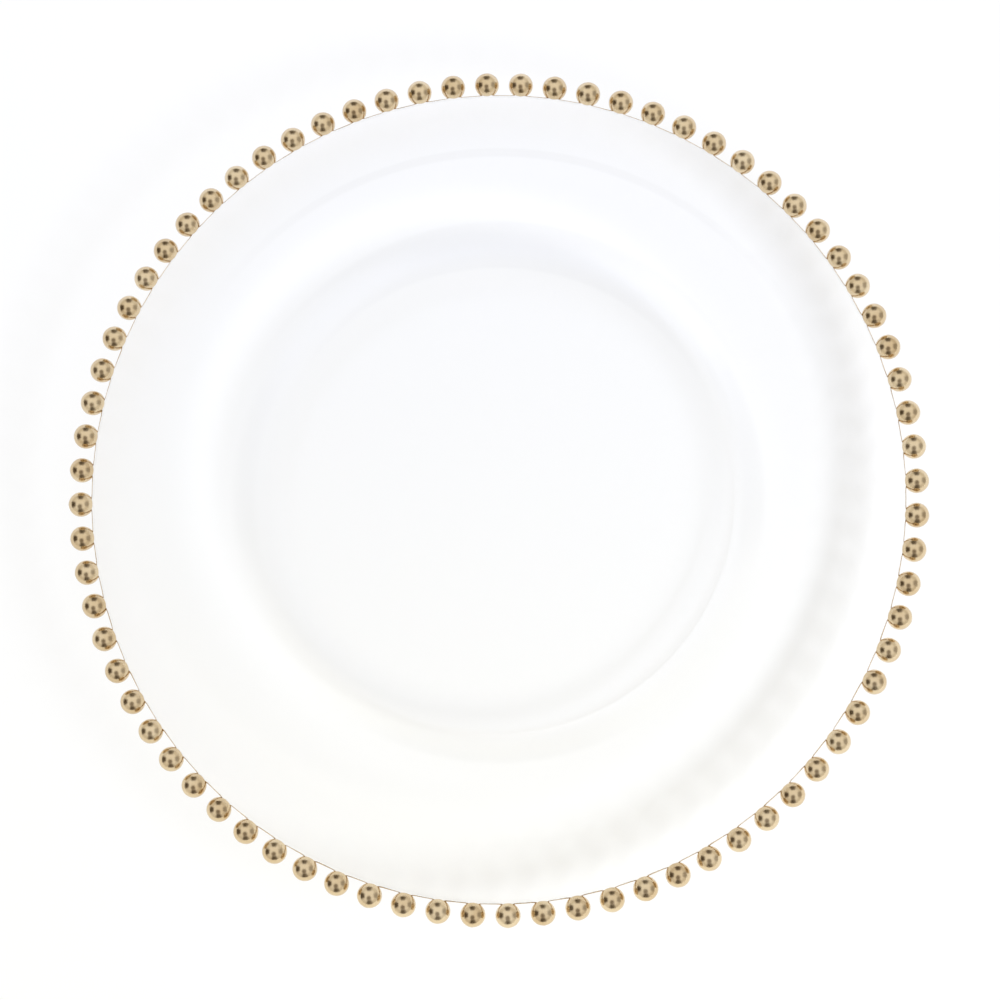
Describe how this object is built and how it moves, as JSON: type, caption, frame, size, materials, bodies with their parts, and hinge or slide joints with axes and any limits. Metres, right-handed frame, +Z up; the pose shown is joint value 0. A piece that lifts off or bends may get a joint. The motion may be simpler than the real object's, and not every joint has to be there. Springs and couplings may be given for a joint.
{
  "type": "charger plate",
  "caption": "Round clear glass charger plate with a shallow well, a broad flange and a rim of gilded round beads, standing on a low foot ring.",
  "frame": {"origin": "centre of the plane that the foot ring stands on", "axes": "+Z up, along the plate's axis of turning, out of the well; +X through the middle of one bead"},
  "size_m": [0.33, 0.33, 0.0189],
  "materials": {
    "clear_glass": "clear pressed glass, fire polished",
    "bead_gold": "bright champagne gold plating on the glass beads",
    "rim_gold": "thin hand-run gold line on the rim's edge"
  },
  "bodies": {
    "root": {"glass_plate": "clear_glass", "bead_gilding": "bead_gold", "rim_gilding": "rim_gold"}
  },
  "joints": []
}
